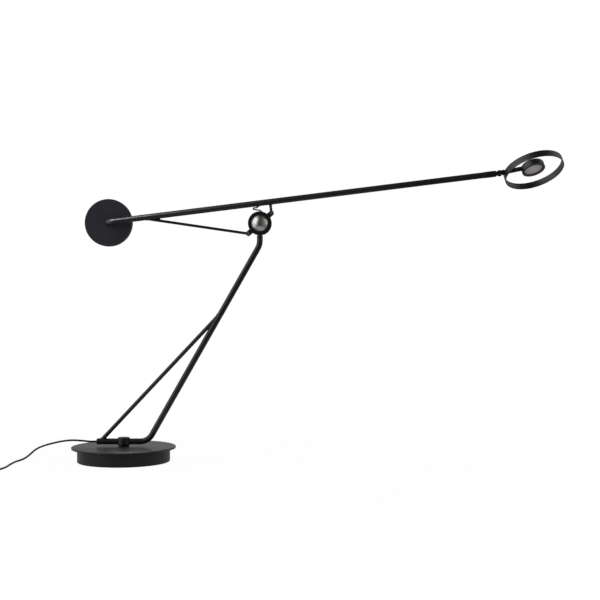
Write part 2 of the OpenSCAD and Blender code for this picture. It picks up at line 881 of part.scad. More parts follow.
module end_fitting() {
    color(black)
        at_arm()
            translate([arm_right, 0, arm_rise])
                rotate([0, 90, 0])
                    difference() {
                        union() {
                            round_disc(fitting_d / 2, fitting_l, 0.5);
                            translate([0, 0, -fitting_spigot_l])
                                cylinder(h = fitting_spigot_l + over, r = bore_r - close_gap);
                        }
                        translate([0, 0, -fitting_spigot_l - over])
                            cylinder(h = fitting_l + fitting_spigot_l, d = lead_bore_d);
                        translate([0, 0, fitting_l - roll_shaft_l - 0.5])
                            cylinder(h = roll_shaft_l + over, d = roll_shaft_d + 2 * turn_gap);
                        translate([0, 0, fitting_l - roll_shaft_l / 2])
                            rotate([0, 90, 0]) cylinder(h = fitting_d, d = roll_screw_d);
                    }
}

// Set screw under the fitting that brakes the rolling shaft
module roll_screw() {
    color(steel)
        at_arm()
            translate([fitting_end - roll_shaft_l / 2, 0, arm_rise])
                rotate([180, 0, 0])
                    difference() {
                        translate([0, 0, roll_shaft_d / 2 + turn_gap])
                            cylinder(h = fitting_d / 2 - roll_shaft_d / 2 - turn_gap,
                                     d = roll_screw_d);
                        translate([0, 0, fitting_d / 2 - 1.2])
                            cylinder(h = over + 1.2, d = 1.5, $fn = 6);
                    }
}

module roll_fork() {
    shaft_x = fitting_end - hinge_x - roll_shaft_l;
    collar_x = fitting_end - hinge_x + 0.2;
    color(black)
        at_fork()
            difference() {
                union() {
                    bar([shaft_x, 0, 0], 0, roll_shaft_l + over, roll_shaft_d / 2);
                    bar([collar_x, 0, 0], 0, -hinge_r - collar_x, collar_d / 2);
                    fork_cheek_blank();
                }
                fork_slot();
                bar([shaft_x - over, 0, 0], 0, hinge_x, lead_bore_d / 2);
                along_y(0, 0, -fitting_d, fitting_d, hinge_pin_d + 2 * close_gap);
            }
}

// Round block between the collar and the pin, as wide as the fork, and two round cheeks
module fork_cheek_blank() {
    intersection() {
        bar([-hinge_r, 0, 0], 0, hinge_r, hinge_r);
        translate([-hinge_d, -fork_out, -hinge_d]) cube([2 * hinge_d, 2 * fork_out, 2 * hinge_d]);
    }
    along_y(0, 0, -fork_out, -fork_in, hinge_d);
    along_y(0, 0, fork_in, fork_out, hinge_d);
}

module fork_slot() {
    translate([fork_root_x - hinge_x, -fork_in, -hinge_d])
        cube([2 * hinge_d, 2 * fork_in, 2 * hinge_d]);
}

module hinge_pin() {
    head_t = 1;
    color(steel)
        at_fork() {
            along_y(0, 0, -fork_out - head_t, -fork_out, 2 * hinge_pin_d);
            along_y(0, 0, -fork_out - head_lap, fork_out + head_t / 2, hinge_pin_d);
            along_y(0, 0, fork_out, fork_out + head_t, 1.6 * hinge_pin_d);
        }
}

// ---- lamp head ----

module head_stem() {
    color(black)
        at_head()
            difference() {
                union() {
                    along_y(0, 0, -tongue_t / 2, tongue_t / 2, 2 * tongue_r);
                    translate([0, -tongue_t / 2, -tongue_r + 0.6])
                        cube([neck_x + over, tongue_t, 2 * tongue_r - 1.2]);
                    bar([neck_x, 0, 0], 0, neck_end_x - neck_x, stem_neck_d / 2);
                    bar([neck_x + over, 0, 0], 0, stem_end_x - neck_x - over, stem_d / 2);
                }
                along_y(0, 0, -fitting_d, fitting_d, hinge_pin_d + 2 * turn_gap);
                bar([neck_x + over, 0, 0], 0, head_x, stem_bore_d / 2);
            }
}

module head_lead() {
    lead_x = neck_x + over + 0.3;
    color(cord_black)
        at_head()
            translate([0, 0, stem_bore_d / 2 - lead_d / 2 - close_gap])
                bar([lead_x, 0, 0], 0, stem_end_x - lead_x, lead_d / 2);
}

module head_ring() {
    color(black)
        difference() {
            at_lamp()
                translate([0, 0, -ring_w / 2])
                    difference() {
                        cylinder(h = ring_w, r = ring_r);
                        translate([0, 0, -over])
                            cylinder(h = ring_w + 2 * over, r = ring_r - ring_wall);
                    }
            at_head() bar([neck_x, 0, 0], 0, neck_end_x + ring_w, stem_neck_d / 2);
        }
}

module lamp_housing() {
    color(black)
        difference() {
            at_lamp()
                difference() {
                    union() {
                        cylinder(h = housing_h - housing_edge_r, r = housing_r);
                        round_disc(housing_r, housing_h, housing_edge_r);
                    }
                    translate([0, 0, -over]) cylinder(h = roof_z + over, r = housing_in_r);
                }
            at_head() bar([neck_end_x, 0, 0], 0, head_x - neck_end_x, stem_d / 2 + close_gap);
        }
}

// Round board on the housing's roof, with a ring of light-emitting chips under it
module led_board() {
    chip = 2.8;
    chip_t = 0.7;
    chips_r = 11;
    chips_n = 8;
    color(board_white)
        at_lamp() {
            translate([0, 0, board_z]) cylinder(h = board_t, r = lens_r);
            for (i = [0:chips_n - 1])
                rotate([0, 0, i * 360 / chips_n])
                    translate([chips_r - chip / 2, -chip / 2, board_z - chip_t])
                        cube([chip, chip, chip_t + 0.1]);
        }
}

module reflector() {
    color(board_white)
        at_lamp()
            translate([0, 0, lens_z])
                difference() {
                    cylinder(h = board_z - lens_z, r = lens_r);
                    translate([0, 0, -over])
                        cylinder(h = board_z - lens_z + 2 * over, r = face_d / 2);
                }
}

module diffuser() {
    color(diffuse) at_lamp() translate([0, 0, lens_t]) cylinder(h = lens_t, r = lens_r);
}

module bezel() {
    color(black)
        at_lamp()
            difference() {
                cylinder(h = lens_t, r = lens_r);
                translate([0, 0, -over]) cylinder(h = lens_t + 2 * over, r = face_d / 2);
                translate([0, 0, -over / 2])
                    cylinder(h = over / 2 + lens_t / 2, r1 = face_d / 2 + 1, r2 = face_d / 2);
            }
}

// ---- cord ----

module cord() {
    start = [[-cord_exit_x, 0, tube_z], [-cord_exit_x - cord_d, 0, tube_z]];
    floor_run = [for (q = cord_floor) [q[0], q[1], cord_r]];
    finish = [[cord_end[0], cord_end[1], cord_r]];
    color(cord_black) sweep(concat(start, cord_drop, floor_run, finish), [0, 0, 1], cord_r);
}

module cord_coil() {
    color(cord_black)
        translate([coil_x, coil_y, 0])
            difference() {
                round_disc(coil_out_r, coil_section_h, cord_r);
                translate([0, 0, -over]) cylinder(h = coil_section_h + 2 * over, r = coil_in_r);
            }
}

module cord_tail() {
    start = [[coil_x - coil_out_r + cord_r, coil_y, coil_section_h - cord_r]];
    finish = [[plug_x, plug_y - relief_l - 6, plug_z], [plug_x, plug_y - relief_l, plug_z]];
    color(cord_black) sweep(concat(start, tail_route, finish), [0, 0, 1], cord_r);
}

// Strap over the coil's turns
module cord_tie() {
    reach = tie_out_x - tie_in_x;
    top = coil_section_h + tie_gap;
    color(rubber)
        translate([coil_x, coil_y, 0])
            rotate([0, 0, 60])
                translate([tie_in_x - tie_t, -tie_w / 2, 0])
                    difference() {
                        cube([reach + 2 * tie_t, tie_w, top + tie_t]);
                        translate([tie_t, -over, -over])
                            cube([reach, tie_w + 2 * over, top + over]);
                    }
}

// Flat two-pin plug that lies on the table, its cord towards -Y
module at_plug() {
    translate([plug_x, plug_y, 0]) children();
}

// Axes of the two pins in the plug, from the bottom of their seats outwards
module at_pins() {
    for (side = [-1, 1])
        translate([side * pin_spacing / 2, plug_l - pin_seat, plug_z])
            rotate([-90, 0, 0]) children();
}

module plug_body() {
    half = plug_w / 2;
    color(black)
        at_plug() {
            difference() {
                linear_extrude(height = plug_t)
                    polygon([
                        [-plug_neck_w / 2, 0], [plug_neck_w / 2, 0],
                        [half - 2, plug_grip_l], [half, plug_grip_l + 3],
                        [half, plug_l], [-half, plug_l],
                        [-half, plug_grip_l + 3], [2 - half, plug_grip_l]
                    ]);
                at_pins() cylinder(h = pin_seat + over, d = pin_d);
            }
            translate([0, over, plug_z])
                rotate([90, 0, 0])
                    cylinder(h = relief_l + over, d1 = relief_d, d2 = cord_d + 1.2);
        }
}

module plug_pins() {
    color(steel)
        at_plug()
            at_pins() {
                cylinder(h = pin_seat + pin_l, d = pin_d);
                translate([0, 0, pin_seat + pin_l])
                    cylinder(h = 1, r1 = pin_d / 2, r2 = 0.7 * pin_d / 2);
            }
}

foot_pad();
base_weight();
top_plate();
plate_screws();
slide_ring();
swivel_post();
post_washer();
post_bolt();
post_grub_screw();
stand_tube();
brace();
tail_plug();
stand_lead();
stem_neck();
ball();
jumper_lead();
clamp_front();
clamp_back();
clamp_screws();
clamp_nuts();
short_strut();
long_strut();
arm_tube();
arm_grommet();
arm_lead();
weight_insert();
counterweight();
counterweight_bolt();
end_fitting();
roll_screw();
roll_fork();
hinge_pin();
head_stem();
head_lead();
head_ring();
lamp_housing();
led_board();
reflector();
diffuser();
bezel();
cord();
cord_coil();
cord_tail();
cord_tie();
plug_body();
plug_pins();
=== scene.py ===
# %% [markdown]
# # A balance desk lamp
# A heavy round base carries a bent and braced stand. A polished ball on top of the stand is held
# between two cheeks, and the cheeks carry a long arm: a disc as counterweight at one end and a
# small round lamp inside a ring at the other. The rigid parts come from a construction model, one
# object for each part. Here each of them gets its finish, and the pieces with soft or flowing
# shapes are worked out with numpy: the cord with its coil, strap and plug, the short lead over the
# ball, the weld beads and the ball's own mirror-smooth surface.

import bmesh
import bpy
import numpy as np
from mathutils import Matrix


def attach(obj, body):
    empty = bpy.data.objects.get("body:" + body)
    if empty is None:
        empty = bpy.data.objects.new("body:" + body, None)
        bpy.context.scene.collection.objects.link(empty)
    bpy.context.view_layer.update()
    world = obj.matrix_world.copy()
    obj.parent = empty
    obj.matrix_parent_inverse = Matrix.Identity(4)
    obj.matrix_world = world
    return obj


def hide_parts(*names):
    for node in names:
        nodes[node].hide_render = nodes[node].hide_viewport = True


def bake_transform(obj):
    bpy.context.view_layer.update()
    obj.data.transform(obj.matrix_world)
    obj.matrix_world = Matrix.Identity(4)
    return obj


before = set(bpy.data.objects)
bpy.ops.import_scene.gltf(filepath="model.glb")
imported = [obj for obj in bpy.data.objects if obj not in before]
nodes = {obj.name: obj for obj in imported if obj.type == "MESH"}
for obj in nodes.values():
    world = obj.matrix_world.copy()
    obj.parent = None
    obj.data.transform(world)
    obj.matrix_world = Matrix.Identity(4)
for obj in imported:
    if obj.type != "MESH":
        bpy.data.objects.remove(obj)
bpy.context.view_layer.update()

# %% [markdown]
# The camera stands level, about two and a third metres in front of the lamp. A pinhole camera with
# a longer lens keeps the round parts from being stretched towards the edges of the frame.

# %% Camera
camera_data = bpy.data.cameras.new("camera")
camera_data.sensor_width = 36.0
camera_data.lens = 70.2
camera = bpy.data.objects.new("camera", camera_data)
camera.location = (0.3524, -2.340, 0.3235)
camera.rotation_euler = (np.pi / 2, 0, 0)
bpy.context.collection.objects.link(camera)
bpy.context.scene.camera = camera
bpy.context.scene.view_settings.view_transform = "Standard"
print("lens", camera_data.lens, "mm, camera at", tuple(camera.location))

# %% [markdown]
# The lamp's own directions. The arm slopes gently upwards, so a place on it is easiest to give
# along the arm, across it and square to it, counted from the centre of the ball.

# %% Directions of the arm and the head
def unit(vector):
    """The vector divided by its length, along the last axis."""
    vector = np.asarray(vector, float)
    return vector / np.linalg.norm(vector, axis=-1, keepdims=True)


ball_centre = np.array([0.272125, 0.0, 0.4767])
arm_slope = np.radians(7.1)
along_arm = np.array([np.cos(arm_slope), 0.0, np.sin(arm_slope)])
off_arm = np.array([-np.sin(arm_slope), 0.0, np.cos(arm_slope)])
to_back = np.array([0.0, 1.0, 0.0])
arm_axis_rise = 0.0403
tube_radius = 0.006


def on_arm(along, back, off):
    """Ball's centre + along * arm direction + back * Y + off * the direction square to both."""
    return (ball_centre + np.multiply.outer(along, along_arm)
            + np.multiply.outer(back, to_back) + np.multiply.outer(off, off_arm))


head_roll, head_lift = np.radians(25.5), np.radians(5.4)
hinge_along, stem_reach, face_depth = 0.4880, 0.0680, 0.009
hinge_centre = on_arm(hinge_along, 0.0, arm_axis_rise)
unlifted = off_arm * np.cos(head_roll) + to_back * np.sin(head_roll)
along_stem = along_arm * np.cos(head_lift) + unlifted * np.sin(head_lift)
out_of_lamp_back = unlifted * np.cos(head_lift) - along_arm * np.sin(head_lift)
lamp_centre = hinge_centre + stem_reach * along_stem - face_depth * out_of_lamp_back
print("hinge at", hinge_centre.round(4), "lamp face centre at", lamp_centre.round(4))

# %% [markdown]
# Every new piece starts as a grid of points. Neighbouring points make the faces, and the grid may
# close on itself in either direction, as a tube does. Doubled points, such as those of a pole,
# are merged, and the normals are turned outwards.

# %% From a grid of points to an object
def object_from(name, points, faces):
    """Object at the origin with these points and faces, doubles merged and faces turned out."""
    mesh = bpy.data.meshes.new(name)
    mesh.from_pydata(np.asarray(points).reshape(-1, 3).tolist(), [], [list(f) for f in faces])
    work = bmesh.new()
    work.from_mesh(mesh)
    bmesh.ops.remove_doubles(work, verts=work.verts, dist=1e-6)
    bmesh.ops.recalc_face_normals(work, faces=work.faces)
    work.to_mesh(mesh)
    work.free()
    mesh.shade_smooth()
    made = bpy.data.objects.new(name, mesh)
    bpy.context.collection.objects.link(made)
    return made


def grid_faces(rows, columns, close_rows, close_columns):
    """Quads between neighbours of a rows x columns grid, as index arrays."""
    row = np.arange(rows if close_rows else rows - 1)[:, None]
    column = np.arange(columns if close_columns else columns - 1)[None, :]
    next_row, next_column = (row + 1) % rows, (column + 1) % columns
    corners = [row * columns + column, row * columns + next_column,
               next_row * columns + next_column, next_row * columns + column]
    return np.stack([c.ravel() for c in np.broadcast_arrays(*corners)], axis=1)


def surface(name, points, close_rows=False, close_columns=False, ends=False):
    """Object from a grid of points. With ends, the first and last row are filled with a face."""
    rows, columns = points.shape[:2]
    faces = grid_faces(rows, columns, close_rows, close_columns).tolist()
    if ends:
        faces += [list(range(columns))[::-1], list(range((rows - 1) * columns, rows * columns))]
    return object_from(name, points, faces)


def turned(name, profile, origin, axis, side, steps=96):
    """Surface of revolution: a point (r, h) of the profile goes round the axis through origin, at
    origin + h * axis + r * (cos t * side + sin t * axis x side)."""
    axis, side = unit(axis), unit(side)
    across = np.cross(axis, side)
    r, h = np.asarray(profile, float).T
    t = np.linspace(0, 2 * np.pi, steps, endpoint=False)
    round_axis = np.cos(t)[None, :, None] * side + np.sin(t)[None, :, None] * across
    points = origin + h[:, None, None] * axis + r[:, None, None] * round_axis
    return surface(name, points, close_columns=True)


def arc(centre_r, centre_h, radius, start, stop, count=9):
    """Points of an arc in a profile: (centre_r + R cos a, centre_h + R sin a), a in degrees."""
    a = np.radians(np.linspace(start, stop, count))
    return np.stack([centre_r + radius * np.cos(a), centre_h + radius * np.sin(a)], axis=1)


def spline_through(points, spacing):
    """Natural cubic spline through the points, by chord length, sampled at about this spacing.
    The second derivatives m solve one linear system: for each inner point
    h0 m0 + 2 (h0 + h1) m1 + h1 m2 = 6 ((p2 - p1) / h1 - (p1 - p0) / h0)."""
    p = np.asarray(points, float)
    h = np.linalg.norm(np.diff(p, axis=0), axis=1)
    at = np.concatenate([[0], np.cumsum(h)])
    inner = np.arange(1, len(p) - 1)
    system = np.eye(len(p))
    system[inner, inner - 1], system[inner, inner] = h[:-1], 2 * (h[:-1] + h[1:])
    system[inner, inner + 1] = h[1:]
    right = np.zeros_like(p)
    slope = np.diff(p, axis=0) / h[:, None]
    right[1:-1] = 6 * np.diff(slope, axis=0)
    m = np.linalg.solve(system, right)
    s = np.linspace(0, at[-1], int(at[-1] / spacing) + 1)
    k = np.clip(np.searchsorted(at, s, side="right") - 1, 0, len(h) - 1)
    a, b, span = (at[k + 1] - s)[:, None], (s - at[k])[:, None], h[k][:, None]
    return ((m[k] * a**3 + m[k + 1] * b**3) / (6 * span)
            + (p[k] / span - m[k] * span / 6) * a
            + (p[k + 1] / span - m[k + 1] * span / 6) * b)


def pipe(name, path, radius, up, sides=20, closed=False):
    """Tube along a path that never runs parallel to up: centre + R (cos t * side + sin t * lift),
    where side = up x tangent and lift = tangent x side. radius may change along the path."""
    path = np.asarray(path, float)
    if closed:
        tangent = unit(np.roll(path, -1, axis=0) - np.roll(path, 1, axis=0))
    else:
        tangent = unit(np.gradient(path, axis=0))
    side = unit(np.cross(np.broadcast_to(up, path.shape), tangent))
    lift = np.cross(tangent, side)
    t = np.linspace(0, 2 * np.pi, sides, endpoint=False)[None, :, None]
    r = np.broadcast_to(np.asarray(radius, float), len(path))[:, None, None]
    points = path[:, None] + r * (np.cos(t) * side[:, None] + np.sin(t) * lift[:, None])
    return surface(name, points, close_rows=closed, close_columns=True, ends=not closed)


def path_length(path):
    """Sum of the distances between neighbouring points of the path."""
    return float(np.linalg.norm(np.diff(path, axis=0), axis=1).sum())


quarter = [(np.cos(angle), np.sin(angle), 0) for angle in np.linspace(0, np.pi / 2, 9)]
print("spline test, length of a quarter circle of radius 1:",
      round(path_length(spline_through(quarter, 0.01)), 4))

# %% [markdown]
# The cord is a light round flex. It leaves the tail of the stand's foot tube, sags over the edge
# of the base and lies on the table, and the length that isn't in use is wound into a neat coil.
# One smooth line runs through the route's points. In the coil each turn keeps its radius and
# height for most of the way round and then moves over by one diameter, and a turn that climbs to
# the next layer swings out a little to pass its neighbours.

# %% Route of the cord
cord_radius, cord_spacing = 0.0019, 0.002
cord_exit = np.array([-0.0536, 0.0, 0.0407])
drop = np.array([
    (-66, 0, 40.5), (-78, 0, 41.6), (-90, 0, 42.6), (-102, 0.5, 43), (-114, 1, 42.2),
    (-126, 2, 40.4), (-138, 3, 37.8), (-149, 4, 35), (-160, 5, 31.8), (-170, 6, 27.8),
    (-178.5, 7, 23), (-186, 8, 16.8), (-193, 8.5, 10.8), (-200, 8, 6), (-206.5, 5, 3),
    (-211, -2, 2)]) / 1000
on_table = np.array([
    (-213, -12), (-214, -24), (-214.5, -37), (-214.4, -50), (-214, -63), (-213.6, -76),
    (-213.8, -89), (-215, -102), (-217.5, -114), (-221, -126), (-226, -138), (-230.8, -149),
    (-233, -160)]) / 1000
on_table = np.column_stack([on_table, np.full(len(on_table), cord_radius)])
coil_centre = np.array([-0.256, -0.170])
coil_radius, coil_columns, coil_layers = 0.019, 3, 4


def coil_line(columns=coil_columns, layers=coil_layers, step=12.0, shift=200.0, swing_by=0.002):
    """Line through a coil, clockwise from above. Turn n lies at radius R(n) and height H(n). Over
    the last shift degrees of a turn both move to the next turn's by a smooth step s, and where
    the height changes the radius also swings by swing_by * sin^2(pi s)."""
    pitch = 2 * cord_radius
    column = np.arange(columns)
    outward = coil_radius + (column - (columns - 1) / 2) * pitch
    radii = np.concatenate([outward[::-1] if k % 2 == 0 else outward for k in range(layers)])
    heights = np.repeat(cord_radius + np.arange(layers) * pitch, columns)
    angle = np.arange(0, 360 * columns * layers - 180 + 0.1, step)
    turn = np.minimum((angle // 360).astype(int), columns * layers - 1)
    after = np.minimum(turn + 1, columns * layers - 1)
    s = np.clip((angle - 360 * turn - (360 - shift)) / shift, 0, 1)
    s = np.where(turn == columns * layers - 1, 0, s)
    smooth = s * s * (3 - 2 * s)
    climbs = heights[after] - heights[turn] > pitch / 2
    side = np.where(radii[turn] > coil_radius, 1, -1)
    swing = side * climbs * swing_by * np.sin(np.pi * s)**2
    r = radii[turn] + smooth * (radii[after] - radii[turn]) + swing
    h = heights[turn] + smooth * (heights[after] - heights[turn])
    a = -np.radians(angle)
    return np.column_stack([coil_centre[0] + r * np.cos(a), coil_centre[1] + r * np.sin(a), h])


plug_place = np.array([-0.288, -0.100, 0.0])
plug_middle = 0.0068
to_plug = np.array([
    (-280, -158, 10.6), (-283, -148, 5.4), (-285.4, -140, 3.9),
    (-287.3, -133, 5.3), (-288, -127, 6.6), (-288, -124, 6.8)]) / 1000
cord_start = [cord_exit, cord_exit - (2 * cord_radius, 0, 0)]
cord_path = spline_through(
    np.concatenate([cord_start, drop, on_table, coil_line(), to_plug]), cord_spacing)
cord_path[:, 2] = np.maximum(cord_path[:, 2], cord_radius)

# %% [markdown]
# A tube along that line is the cord. The line never stands upright, so the Z axis can serve as the
# direction that the section's frame is built on, and the tube never twists.

# %% The cord itself
mains_cord = pipe("mains_cord", cord_path, cord_radius, (0, 0, 1), sides=14)
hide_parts("cord", "cord_coil", "cord_tail")
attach(mains_cord, "stand")
print("cord radius", cord_radius * 1000, "mm, faces", len(mains_cord.data.polygons))

# %% [markdown]
# Shader graphs read more easily as sums. A Wire holds one output socket, and adding or multiplying
# two Wires adds the Math node for it. A Finish holds one material and makes every other node.

# %% A small language for shader nodes
class Wire:
    """One output socket that takes part in sums with numbers and other wires."""

    def __init__(self, finish, socket):
        self.finish, self.socket = finish, socket

    def math(self, operation, *values):
        return self.finish.node("ShaderNodeMath", {"operation": operation}, dict(enumerate(values)))

    def __add__(self, other):
        return self.math("ADD", self, other)

    def __sub__(self, other):
        return self.math("SUBTRACT", self, other)

    def __rsub__(self, other):
        return self.math("SUBTRACT", other, self)

    def __mul__(self, other):
        return self.math("MULTIPLY", self, other)

    __radd__ = __add__
    __rmul__ = __mul__

    def least(self, other):
        return self.math("MINIMUM", self, other)

    def ramp(self, low, high, to_low=0.0, to_high=1.0):
        """Smooth step from low to high, as a value from to_low to to_high."""
        return self.finish.node(
            "ShaderNodeMapRange", {"interpolation_type": "SMOOTHSTEP"},
            {"Value": self, "From Min": low, "From Max": high, "To Min": to_low,
             "To Max": to_high})


class Finish:
    """A material, or the world, and the nodes in it."""

    def __init__(self, name, owner=None):
        self.owner = owner or bpy.data.materials.new(name)
        self.owner.use_nodes = True
        self.tree = self.owner.node_tree
        self.tree.nodes.clear()

    def node(self, kind, settings=None, sockets=None, out=0):
        """A node of this kind. Its settings come first, then the values or wires of its sockets."""
        made = self.tree.nodes.new(kind)
        for key, value in (settings or {}).items():
            setattr(made, key, value)
        for key, value in (sockets or {}).items():
            if isinstance(value, Wire):
                self.tree.links.new(value.socket, made.inputs[key])
            elif isinstance(value, tuple) and len(value) == 3 and \
                    made.inputs[key].type == "RGBA":
                made.inputs[key].default_value = (*value, 1.0)
            else:
                made.inputs[key].default_value = value
        return Wire(self, made.outputs[out]) if len(made.outputs) else made

    def place(self, scale=(1, 1, 1)):
        """Object coordinates, scaled by a Mapping node."""
        here = self.node("ShaderNodeTexCoord", out=3)
        return self.node("ShaderNodeMapping", None, {"Vector": here, "Scale": scale})

    def noise(self, scale, detail=3.0, rough=0.55, at=None):
        """Cloudy value around 0.5. scale is in features per metre."""
        return self.node("ShaderNodeTexNoise", None,
                         {"Vector": at or self.place(), "Scale": scale, "Detail": detail,
                          "Roughness": rough})

    def mix(self, factor, first, second):
        """Colour between first and second."""
        return self.node("ShaderNodeMix", {"data_type": "RGBA"},
                         {0: factor, 6: first, 7: second}, out=2)

    def bump(self, height, distance, strength=1.0):
        """Normal of a surface raised by height * distance."""
        return self.node("ShaderNodeBump", None,
                         {"Height": height, "Distance": distance, "Strength": strength})

    def show(self, sockets):
        """Ends the graph in a Principled shader with these sockets and returns the material."""
        shader = self.node("ShaderNodeBsdfPrincipled", None, sockets)
        self.node("ShaderNodeOutputMaterial", None, {"Surface": shader})
        return self.owner


def srgb(*levels):
    """Linear colour of 0 to 255 screen levels: ((c + 0.055) / 1.055) ** 2.4."""
    c = np.array(levels) / 255
    return tuple(float(v) for v in np.where(c <= 0.04045, c / 12.92, ((c + 0.055) / 1.055)**2.4))


print("black paint in linear light:", [round(v, 4) for v in srgb(40, 40, 43)])

# %% [markdown]
# Powder coat is paint baked on as a powder. It keeps a very fine, soft grain that breaks up the
# reflections, its gloss changes a little from place to place, and handling polishes it slightly.

# %% Black powder coat
def powder_coat(name, colour, rough, grain=1400.0, depth=0.00001, shine=0.5):
    """Black baked paint: cloudy tone and gloss, a grain of depth metres and a shine."""
    f = Finish(name)
    cloud = f.noise(11.0, 4.0)
    speck = f.noise(grain, 2.0, 0.6)
    lighter = tuple(c * 1.25 + 0.0006 for c in colour)
    tone = f.mix(cloud.ramp(0.35, 0.7), colour, lighter)
    tone = f.mix(speck.ramp(0.6, 0.75, 0.0, 0.3), tone, tuple(c * 1.6 for c in colour))
    gloss = rough + (cloud - 0.5) * 0.08 + (speck - 0.5) * 0.06
    return f.show({"Base Color": tone, "Roughness": gloss, "IOR": 1.5,
                   "Specular IOR Level": shine, "Normal": f.bump(speck, depth)})


arm_black = powder_coat("arm_black", srgb(23, 23, 27), 0.31, depth=0.000005)
lid_black = powder_coat("lid_black", srgb(22, 21, 23), 0.29, grain=1100.0)
# The counterweight disc is the same black paint as the arm, drawn lighter and bluer: painted light
# on its front face.
disc_black_painted_light = powder_coat("disc_black_painted_light", srgb(45, 43, 53), 0.42, grain=1100.0)
iron_black = powder_coat("iron_black", srgb(30, 28, 33), 0.38, grain=700.0, depth=0.00002,
                         shine=0.3)
head_black = powder_coat("head_black", srgb(26, 26, 29), 0.33, grain=1700.0)

# %% [markdown]
# The bare metals. Screws and washers carry a dull zinc layer with a faint crystal cloud, and the
# ball is ground and polished, so that only faint hairlines remain.

# %% Bare metals
def plated(name, colour, rough, hair=0.0):
    """Metal with cloudy gloss; hair is the strength of fine lines round the Z axis."""
    f = Finish(name)
    cloud = f.noise(260.0, 3.0)
    lines = f.noise(1.0, 2.0, 0.5, at=f.place(scale=(90, 90, 5200)))
    tone = f.mix(cloud.ramp(0.3, 0.75), colour, tuple(c * 0.86 for c in colour))
    gloss = rough + (cloud - 0.5) * 0.14 + (lines - 0.5) * hair
    return f.show({"Base Color": tone, "Metallic": 1.0, "Roughness": gloss,
                   "Normal": f.bump(lines, 0.000004, 0.4)})


zinc = plated("zinc", srgb(188, 187, 184), 0.36, 0.1)
dark_zinc = plated("dark_zinc", srgb(168, 166, 164), 0.38, 0.1)
ball_steel = plated("ball_steel", srgb(206, 204, 200), 0.27, 0.05)
pin_nickel = plated("pin_nickel", srgb(205, 200, 188), 0.26, 0.1)

# %% [markdown]
# Plastics and rubber. Each is one colour with a fine moulded grain, and its gloss tells it apart:
# the pad is dull, the cord's sheath has a soft shine, the plug a fine eroded grain.

# %% Plastics, rubber and the cord's sheath
def moulded(name, colour, rough, grain, depth, cloudiness=0.2):
    """Plastic or rubber with a moulded grain of depth metres."""
    f = Finish(name)
    cloud = f.noise(35.0, 3.0)
    speck = f.noise(grain, 2.0, 0.65)
    tone = f.mix(cloud.ramp(0.3, 0.7), colour,
                 tuple(min(1.0, c * (1 + cloudiness) + 0.001) for c in colour))
    return f.show({"Base Color": tone, "Roughness": rough + (speck - 0.5) * 0.16,
                   "Normal": f.bump(speck, depth)})


pad_rubber = moulded("pad_rubber", srgb(30, 30, 31), 0.8, 900.0, 0.00015, 0.5)
sheath = moulded("sheath", srgb(15, 15, 16), 0.5, 1500.0, 0.00002)
plug_plastic = moulded("plug_plastic", srgb(32, 32, 34), 0.5, 1600.0, 0.00006)
slide_nylon = moulded("slide_nylon", srgb(30, 30, 32), 0.5, 1200.0, 0.00003, 0.2)
board_white = moulded("board_white", srgb(232, 232, 228), 0.5, 800.0, 0.00002, 0.03)

# %% [markdown]
# The lamp's face is a frosted disc in front of a ring of chips. Unlit it looks warm grey, with
# painted shade that darkens it towards its rim, and a faint pattern of fine cells that spreads the
# light.

# %% Frosted face of the lamp
face = Finish("face_frosted")
reach = face.node("ShaderNodeVectorMath", {"operation": "DISTANCE"},
                  {0: face.place(), 1: tuple(float(v) for v in lamp_centre)}, out=1)
cells = face.node("ShaderNodeTexVoronoi", None, {"Vector": face.place(), "Scale": 1100.0})
# Painted shade: the face's colour darkens from its centre towards its rim.
painted_rim_shade = reach.ramp(0.004, 0.018)
face_tone = face.mix(painted_rim_shade, srgb(188, 183, 182), srgb(166, 161, 160))
face_tone = face.mix(cells.ramp(0.1, 0.6, 0.0, 0.25), face_tone, srgb(206, 200, 198))
face_frosted = face.show({"Base Color": face_tone, "Roughness": 0.5 + (cells - 0.5) * 0.1,
                          "Coat Roughness": 0.3, "Coat Weight": 0.15,
                          "Normal": face.bump(cells, 0.00005)})

# %% [markdown]
# Each part of the construction model takes one of these finishes.

# %% Finishes on the construction parts
finish_of = {
    lid_black: "top_plate swivel_post",
    iron_black: "base_weight",
    arm_black: "stand_tube brace tail_plug stem_neck clamp_front clamp_back short_strut "
               "long_strut arm_tube end_fitting roll_fork hinge_pin",
    head_black: "head_stem head_ring lamp_housing bezel",
    disc_black_painted_light: "counterweight",
    zinc: "plate_screws post_washer post_bolt post_grub_screw weight_insert "
          "counterweight_bolt roll_screw",
    dark_zinc: "clamp_screws clamp_nuts",
    ball_steel: "ball",
    pin_nickel: "plug_pins",
    pad_rubber: "foot_pad arm_grommet cord_tie",
    slide_nylon: "slide_ring",
    sheath: "stand_lead jumper_lead arm_lead head_lead",
    plug_plastic: "plug_body",
    board_white: "led_board reflector",
    face_frosted: "diffuser",
}
for material, names in finish_of.items():
    for part in names.split():
        nodes[part].data.materials.clear()
        nodes[part].data.materials.append(material)
mains_cord.data.materials.append(sheath)
print("finishes:", len(finish_of), "on", sum(len(n.split()) for n in finish_of.values()), "parts")

# %% [markdown]
# The tubes are brazed together. A thin bead runs round each joint, along the line where the
# smaller bar enters the larger tube. A ray along the bar, from a point on its surface, meets the
# tube where its distance from the tube's axis is the tube's radius. That is a quadratic in the
# ray's length, and its smaller root is where the bar goes in.

